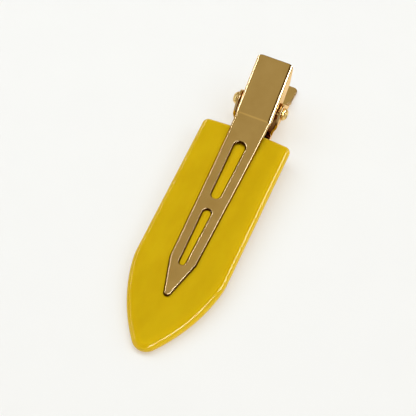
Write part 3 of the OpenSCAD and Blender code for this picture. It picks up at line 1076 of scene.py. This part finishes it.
def gilt(name, low, high, rough, wave, depth):
    """Plating between two tones, with waves of this fineness and depth."""
    mat, tree, shader, where = material(name)
    shader.inputs["Metallic"].default_value = 1.0
    shader.inputs["Specular Tint"].default_value = GRAZING_GILT
    tone = noise(tree, where, 1.5 * wave, 2)
    colour = ramp(tree, tone, [(0.3, low), (0.7, high)])
    # Painted shade: the edge mask darkens the cut side and the jaw's edges, and the hinge mask darkens the
    # inside.
    for mask, dark in (("edge", CUT_SIDE_AND_SHADE), ("hinge_shade", PAINTED_HINGE_SHADE)):
        colour = masked(tree, mask, colour, dark)
    tree.links.new(colour, shader.inputs["Base Color"])
    marks = use_effect(tree, rubs, Vector=where, Amount=1.0)
    tree.links.new(maths(tree, "MULTIPLY_ADD", marks["Dull"], DULL_MARKS, rough),
                   shader.inputs["Roughness"])
    slow = use_effect(tree, waves, Vector=where, Size=wave)["Height"]
    tree.links.new(bump(tree, marks["Height"], 0.04, MARK_HEIGHT,
                        bump(tree, slow, depth, WAVE_HEIGHT)), shader.inputs["Normal"])
    print(name, "with", len(tree.nodes), "nodes")
    return mat


gilt_steel = gilt("gilt_steel", (0.91, 0.64, 0.295), (1.0, 0.725, 0.36), 0.05, 120, 0.25)
gilt_rivet = gilt("gilt_rivet", (0.55, 0.31, 0.06), (1.0, 0.80, 0.36), 0.05, 900, 1.8)
upper.data.materials.append(gilt_steel)
lower.data.materials.append(gilt_steel)
pin.data.materials.append(gilt_rivet)

# %% [markdown]
# The spring is drawn from bare steel wire, so it is greyer and less smooth than the plated
# pieces. It could share the gilt with another colour, but it needs neither masks nor waves: two
# greys, a plain roughness and the marks of drawing are enough.

# %% The spring's wire
mat, tree, shader, where = material("spring_wire")
shader.inputs["Metallic"].default_value = 1.0
shader.inputs["Roughness"].default_value = 0.3
grey = noise(tree, where, 900, 3)
tree.links.new(ramp(tree, grey, [(0.3, (0.30, 0.26, 0.20)), (0.7, (0.52, 0.46, 0.36))]),
               shader.inputs["Base Color"])
marks = use_effect(tree, rubs, Vector=where, Amount=0.6)
tree.links.new(bump(tree, marks["Height"], 0.1, MARK_HEIGHT), shader.inputs["Normal"])
spring.data.materials.append(mat)
print("spring_wire with", len(tree.nodes), "nodes")

# %% [markdown]
# Acetate is glossy, coloured right through and a little see-through. Glass with colour in its depth would be
# truer, but slow and noisy in a plate this thick; a glossy shader with a little light scattered below its
# surface gives the same soft body. Faint clouds run through it, from the kneading of the colour, and the
# painted glow at the rim and under the slots comes from the mask.

# %% The plate's acetate
mat, tree, shader, where = material("acetate")
clouds = noise(tree, stretched(tree, where, (1, 0.45, 1)), 190, 4, 0.55)
body = ramp(tree, clouds, [(0.32, (0.490, 0.318, 0.0015)), (0.68, (0.540, 0.364, 0.003))])
# Painted light: the edge mask turns the body colour to a bright glow colour.
tree.links.new(masked(tree, "edge", body, (0.87, 0.57, 0.006)), shader.inputs["Base Color"])
for name, value in (("Roughness", 0.03), ("IOR", 1.4), ("Specular IOR Level", 0.5),
                    ("Specular Tint", (1.0, 0.9, 0.5, 1)), ("Subsurface Weight", 0.25),
                    ("Subsurface Radius", (1.0, 0.7, 0.1)), ("Subsurface Scale", 0.0012)):
    shader.inputs[name].default_value = value
slow = use_effect(tree, waves, Vector=where, Size=90)["Height"]
marks = use_effect(tree, rubs, Vector=where, Amount=0.5)
tree.links.new(bump(tree, marks["Height"], 0.02, MARK_HEIGHT,
                    bump(tree, slow, 0.08, 2 * WAVE_HEIGHT)), shader.inputs["Normal"])
plate.data.materials.append(mat)
print("acetate with", len(tree.nodes), "nodes")

# %% [markdown]
# The clip lies on a plain pale table, where its shadow is soft, short and a little warm. White
# paint alone would give a grey shadow. Here the table has a cool colour and a faint warm glow
# of its own: in full light the two add up to white, and in the shadow the warm share is left.

# %% Table
TABLE_HALF = 1.2
bm = bmesh.new()
corners = [bm.verts.new((x * TABLE_HALF, y * TABLE_HALF, 0))
           for x, y in ((-1, -1), (1, -1), (1, 1), (-1, 1))]
bm.faces.new(corners)
mesh = bpy.data.meshes.new("table")
bm.to_mesh(mesh)
bm.free()
table = add_object("table", mesh)
mat, tree, shader, where = material("table_top")
tone = noise(tree, where, 60, 2)
tree.links.new(ramp(tree, tone, [(0.2, (0.372, 0.450, 0.496)), (0.8, (0.382, 0.460, 0.506))]),
               shader.inputs["Base Color"])
for name, value in (("Emission Color", (1.0, 0.82, 0.70, 1)), ("Emission Strength", 0.47),
                    ("Roughness", 0.9), ("Specular IOR Level", 0.1)):
    shader.inputs[name].default_value = value
table.data.materials.append(mat)
print("table", round(2 * TABLE_HALF, 1), "m wide")

# %% [markdown]
# A gilt mirror shows its surroundings more than its light, so the two are set apart. Three soft
# boxes light the clip and the table but are not seen in the metal: one overhead, the strongest
# on the left, a weaker one on the right. Three strips do the opposite: they are seen only as the
# light lines on folded and rounded edges, and cast no light. One set of lamps for both would tie
# the width of a shadow to the width of a light line.

# %% Soft boxes and strips
STRIP_COLOUR = (0.89, 1.0, 1.32)


def area_light(name, at, size, power, colour):
    """Soft box at a point in millimetres, facing the clip."""
    data = bpy.data.lights.new(name, "AREA")
    data.shape = "RECTANGLE"
    data.size, data.size_y = size[0] * MM, size[1] * MM
    data.energy = power
    data.color = colour
    obj = add_object(name, data)
    obj.location = Vector(at) * MM
    obj.rotation_euler = (-Vector(at)).to_track_quat("-Z", "Y").to_euler()
    return obj


for name, at, size, power, colour in (
        ("overhead", (0, 150, 880), (500, 500), 3.6, (0.99, 0.99, 1.0)),
        ("left_box", (-600, 100, 750), (700, 700), 4.2, (1, 1, 1)),
        ("right_box", (550, 100, 780), (600, 600), 2.2, (1, 1, 1))):
    area_light(name, at, size, power, colour).visible_glossy = False
for name, at, size, power, tip_way in (("right_strip", (600, -405, 900), (400, 1110), 30.0, 1),
                                       ("back_strip", (600, 525, 520), (420, 750), 12.0, 1),
                                       ("left_strip", (-600, 0, 438), (70, 1400), 4.4, -1)):
    strip = area_light(name, at, size, power, STRIP_COLOUR)
    strip.rotation_euler = (0, tip_way * math.pi / 2, 0)
    strip.visible_diffuse = False
print("lights", sorted(light.name for light in bpy.data.lights))

# %% [markdown]
# What the flat gilt faces mirror is the sky of the scene. A picture of a studio could be wrapped
# round it, but a ramp is easier to tune: its place is the sky's lean, from the left horizon at
# -90 degrees over straight up to the right horizon at 90. A dim warm band gives the brown of
# the flat faces, a dark one the line beside each light line, and both horizons are pale. One
# small brighter spot is what the crease between jaw and handle mirrors.

# %% Sky
DIM, DARK = (0.375, 0.325, 0.185), (0.10, 0.07, 0.03)
# (lean in degrees, colour of the sky there).
LEANS = ((-88, (0.35, 0.35, 0.34)), (-46, (0.4, 0.38, 0.34)), (-40, DIM), (-8, DIM), (-2, DARK),
         (28, DARK), (34, (0.7, 0.7, 0.68)), (88, (0.4, 0.4, 0.39)))
CREASE_SPOT = (-0.2, 0.02, 0.97)
world = bpy.data.worlds.new("studio")
scene.world = world
world.use_nodes = True
tree = world.node_tree
way = tree.nodes.new("ShaderNodeTexCoord").outputs["Generated"]
split = tree.nodes.new("ShaderNodeSeparateXYZ")
tree.links.new(way, split.inputs[0])
lean = maths(tree, "ARCTAN2", split.outputs["X"], split.outputs["Z"])
sky = ramp(tree, maths(tree, "MULTIPLY_ADD", lean, 1 / math.pi, 0.5),
           [(at / 180 + 0.5, colour) for at, colour in LEANS])
from_spot = tree.nodes.new("ShaderNodeVectorMath")
from_spot.operation = "DISTANCE"
from_spot.inputs[1].default_value = CREASE_SPOT
tree.links.new(way, from_spot.inputs[0])
spot = ramp(tree, from_spot.outputs["Value"], [(0.06, (0.12, 0.1, 0.05)), (0.2, (0, 0, 0))])
lit = tree.nodes.new("ShaderNodeMix")
lit.data_type = "RGBA"
lit.blend_type = "ADD"
lit.inputs["Factor"].default_value = 1.0
tree.links.new(sky, lit.inputs[MIX_A])
tree.links.new(spot, lit.inputs[MIX_B])
tree.links.new(lit.outputs[MIX_OUT], tree.nodes["Background"].inputs["Color"])
scene.view_settings.view_transform = "Standard"
print("sky with", len(LEANS), "stops")

# %% [markdown]
# The camera looks down from the point's side, a long way off with a long lens, so the plate's
# sides stay nearly parallel. It could be aimed by eye. Its place was worked out in the plate's
# frame instead, from how long and how wide the plate appears in the photograph.

# %% Camera
CAM_AZ, CAM_EL, CAM_FAR, CAM_LENS = math.radians(23.57), math.radians(60.70), 343.42, 120.66
target = Vector((-0.38, -25.17, 0))
back = Vector((math.sin(CAM_AZ) * math.cos(CAM_EL), -math.cos(CAM_AZ) * math.cos(CAM_EL),
               math.sin(CAM_EL)))
side = Vector((math.cos(CAM_AZ), math.sin(CAM_AZ), 0))
camera_data = bpy.data.cameras.new("camera")
camera_data.lens = CAM_LENS
camera_data.sensor_width = 36
camera_data.clip_start = 0.01
camera = add_object("camera", camera_data)
axes = Matrix((turn(side), turn(back.cross(side)), turn(back))).transposed()
camera.matrix_world = Matrix.Translation(place(target + back * CAM_FAR)) @ axes.to_4x4()
scene.camera = camera
print("camera at", [round(v / MM, 1) for v in camera.location])
